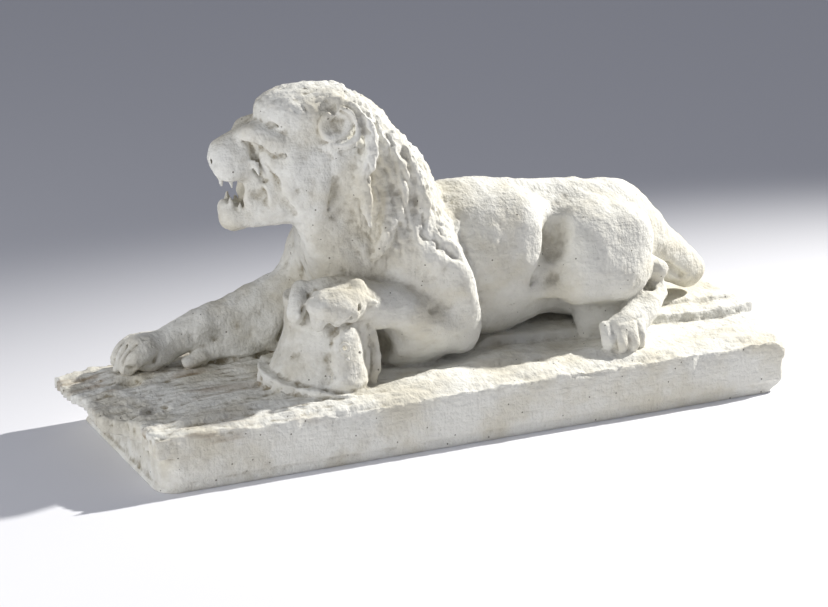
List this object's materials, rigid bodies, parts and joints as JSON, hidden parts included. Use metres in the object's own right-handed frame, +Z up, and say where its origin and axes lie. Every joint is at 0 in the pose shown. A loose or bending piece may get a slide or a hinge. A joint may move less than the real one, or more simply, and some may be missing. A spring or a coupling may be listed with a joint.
{
  "type": "plaster lion statuette",
  "caption": "Reclining open-mouthed lion with a forepaw on a bell-shaped helmet, cast in one with rough ground and a long low rectangular plinth.",
  "frame": {"origin": "middle of the plinth's flat underside", "axes": "+X along the plinth from the lion's head end to its tail end, +Y from the front (the bent foreleg's side) to the back, +Z up"},
  "size_m": [0.5136, 0.16, 0.2446],
  "materials": {
    "plaster": "matt off-white cast plaster, with ochre-grey dirt in the hollows, air holes and tool marks"
  },
  "bodies": {
    "root": {"lion_on_plinth": "plaster"}
  },
  "joints": []
}
